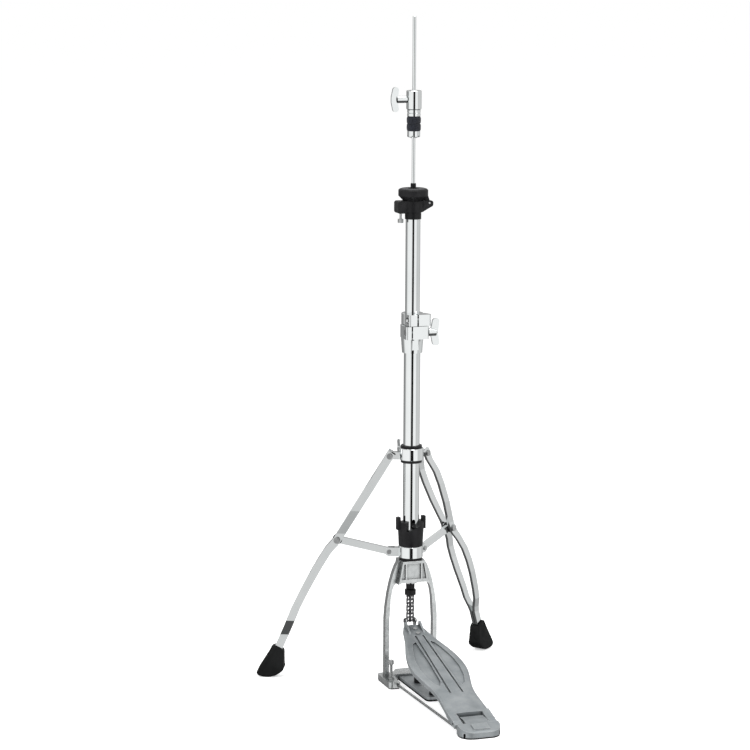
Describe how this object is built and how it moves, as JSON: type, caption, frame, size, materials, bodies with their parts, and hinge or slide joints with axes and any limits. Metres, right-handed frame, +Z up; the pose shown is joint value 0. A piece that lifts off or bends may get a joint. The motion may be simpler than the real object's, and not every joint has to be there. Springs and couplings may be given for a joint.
{
  "type": "hi-hat stand",
  "caption": "Hi-hat cymbal stand with a hooded footboard, chain drive, two folding double-braced legs, telescoping column, tilting cymbal seat and clutch.",
  "frame": {"origin": "on the floor, on the column's axis", "axes": "+Z up along the column, +Y away from the player (the footboard's heel lies toward -Y), +X to the player's right"},
  "size_m": [0.4701, 0.5423, 1.157],
  "materials": {
    "cast_aluminium": "satin tumbled casting",
    "pedal_grey": "satin grey paint over cast grain",
    "rubber_black": "matt moulded rubber",
    "plastic_black": "fine textured moulding",
    "steel": "zinc plated",
    "chain_steel": "oiled",
    "chrome": "polished chrome plate",
    "felt_black": "dense felt",
    "felt_grey": "dense felt"
  },
  "bodies": {
    "base": {"arch_frame": "cast_aluminium", "base_pad": "rubber_black", "guide_bush": "plastic_black", "spur_nuts": "steel", "radius_rod": "steel", "stabiliser_plate": "pedal_grey", "stabiliser_rubber": "rubber_black", "stabiliser_knobs": "plastic_black", "heel_plate": "pedal_grey", "heel_rubber": "rubber_black", "hinge_pins": "steel", "lower_tube": "chrome", "tube_washer": "plastic_black", "height_clamp": "chrome", "clamp_liner": "plastic_black", "clamp_bolt": "steel"},
    "spur_left": {"spur_bolt_left": "steel"},
    "spur_right": {"spur_bolt_right": "steel"},
    "pedal": {"footboard": "pedal_grey", "toe_bracket": "steel"},
    "rod": {"pull_rod_lower": "steel", "pull_rod_upper": "chrome", "rod_joint_nut": "steel", "spring_stop": "steel", "rod_coupler": "plastic_black", "return_spring": "steel"},
    "chain": {"chain_inner_links": "chain_steel", "chain_outer_links": "chain_steel"},
    "tension": {"tension_cup": "plastic_black"},
    "perch": {"spring_perch": "plastic_black"},
    "swivel": {"swivel_collar": "chrome", "brace_pins": "steel"},
    "collar": {"leg_collar": "chrome", "leg_collar_bush": "plastic_black"},
    "leg_lock": {"leg_wing_bolt": "chrome"},
    "leg_left": {"left_leg_bars": "chrome", "left_leg_rivets": "steel", "left_foot": "rubber_black"},
    "leg_right": {"right_leg_bars": "chrome", "right_leg_rivets": "steel", "right_foot": "rubber_black"},
    "brace_left": {"left_brace": "chrome", "left_spacer": "plastic_black"},
    "brace_right": {"right_brace": "chrome", "right_spacer": "plastic_black"},
    "clamp_wing": {"clamp_wing_nut": "chrome"},
    "lock": {"memory_lock": "chrome", "memory_lock_bolt": "steel"},
    "mast": {"upper_tube": "chrome", "seat_holder": "plastic_black", "seat_pivot_pin": "steel", "cymbal_post": "plastic_black"},
    "seat": {"seat_cup": "plastic_black", "seat_felt": "felt_grey"},
    "tilt": {"tilt_screw": "steel"},
    "clutch": {"clutch_body": "chrome", "clutch_lock_nuts": "chrome", "clutch_felts": "felt_black", "clutch_bottom_nut": "chrome"},
    "clutch_wing": {"clutch_wing_screw": "chrome"}
  },
  "joints": [
    {"name": "footboard_hinge", "type": "hinge", "parent": "base", "child": "pedal", "pos_m": [0, -0.317, 0.0155], "axis": [-1, 0, 0], "range_deg": [0, 8], "stiffness_Nm_per_rad": 22, "springref_deg": -14.32},
    {"name": "rod_slide", "type": "slide", "parent": "base", "child": "rod", "axis": [0, 0, -1], "range_m": [0, 0.04594], "deforming": ["return_spring"]},
    {"name": "chain_swing", "type": "hinge", "parent": "rod", "child": "chain", "pos_m": [0, 0, 0.158], "axis": [1, 0, 0], "range_deg": [0, 10.98]},
    {"name": "tension_cup_turn", "type": "hinge", "parent": "base", "child": "tension", "pos_m": [0, 0, 0.265], "axis": [0, 0, -1], "range_deg": [-20, 45]},
    {"name": "perch_lift", "type": "slide", "parent": "base", "child": "perch", "axis": [0, 0, 1], "range_m": [-0.0033, 0.0073]},
    {"name": "height_slide", "type": "slide", "parent": "base", "child": "mast", "axis": [0, 0, 1], "range_m": [-0.12, 0.02]},
    {"name": "memory_lock_slide", "type": "slide", "parent": "base", "child": "lock", "axis": [0, 0, 1], "range_m": [0, 0.04]},
    {"name": "clamp_wing_turn", "type": "hinge", "parent": "base", "child": "clamp_wing", "pos_m": [0, -0.026, 0.621], "axis": [1, 0, 0], "continuous": true},
    {"name": "seat_tilt", "type": "hinge", "parent": "mast", "child": "seat", "pos_m": [0.026, 0, 0.841], "axis": [0, 1, 0], "range_deg": [0, 5]},
    {"name": "tilt_screw_slide", "type": "slide", "parent": "mast", "child": "tilt", "axis": [0, 0, 1], "range_m": [0, 0.0044]},
    {"name": "clutch_slide", "type": "slide", "parent": "rod", "child": "clutch", "axis": [0, 0, 1], "range_m": [-0.008, 0.1]},
    {"name": "clutch_wing_turn", "type": "hinge", "parent": "clutch", "child": "clutch_wing", "pos_m": [-0.02, 0, 1.017], "axis": [1, 0, 0], "continuous": true},
    {"name": "leg_swivel", "type": "hinge", "parent": "base", "child": "swivel", "pos_m": [0, 0, 0.231], "axis": [0, 0, 1], "range_deg": [-15, 15]},
    {"name": "collar_slide", "type": "slide", "parent": "swivel", "child": "collar", "axis": [0, 0, 1], "range_m": [0, 0.0945]},
    {"name": "leg_left_hinge", "type": "hinge", "parent": "collar", "child": "leg_left", "pos_m": [-0.03332, 0.0149, 0.4015], "axis": [-0.4083, -0.9128, 0], "range_deg": [0, 23.11]},
    {"name": "leg_right_hinge", "type": "hinge", "parent": "collar", "child": "leg_right", "pos_m": [0.02852, 0.02277, 0.4015], "axis": [-0.6239, 0.7815, 0], "range_deg": [0, 23.11]},
    {"name": "brace_left_hinge", "type": "hinge", "parent": "swivel", "child": "brace_left", "pos_m": [-0.03377, 0.01511, 0.231], "axis": [0.4083, 0.9128, 0], "range_deg": [0, 63.11]},
    {"name": "brace_right_hinge", "type": "hinge", "parent": "swivel", "child": "brace_right", "pos_m": [0.02892, 0.02308, 0.231], "axis": [0.6239, -0.7815, 0], "range_deg": [0, 63.11]},
    {"name": "leg_lock_turn", "type": "hinge", "parent": "collar", "child": "leg_lock", "pos_m": [-0.00505, 0.03968, 0.4055], "axis": [-0.1262, 0.992, 0], "continuous": true},
    {"name": "spur_left_turn", "type": "hinge", "parent": "base", "child": "spur_left", "pos_m": [-0.043, -0.025, 0.02], "axis": [0, 0, 1], "continuous": true},
    {"name": "spur_right_turn", "type": "hinge", "parent": "base", "child": "spur_right", "pos_m": [0.043, -0.025, 0.02], "axis": [0, 0, 1], "continuous": true}
  ],
  "couplings": [
    {"joint": "rod_slide", "follows": "footboard_hinge", "m_per_rad": 0.32902},
    {"joint": "chain_swing", "follows": "footboard_hinge", "ratio": 1.3727},
    {"joint": "perch_lift", "follows": "tension_cup_turn", "m_per_rad": 0.009167},
    {"joint": "tilt_screw_slide", "follows": "seat_tilt", "m_per_rad": 0.0485},
    {"joint": "leg_left_hinge", "follows": "collar_slide", "rad_per_m": 4.266},
    {"joint": "leg_right_hinge", "follows": "collar_slide", "rad_per_m": 4.266},
    {"joint": "brace_left_hinge", "follows": "collar_slide", "rad_per_m": 11.654},
    {"joint": "brace_right_hinge", "follows": "collar_slide", "rad_per_m": 11.654}
  ]
}
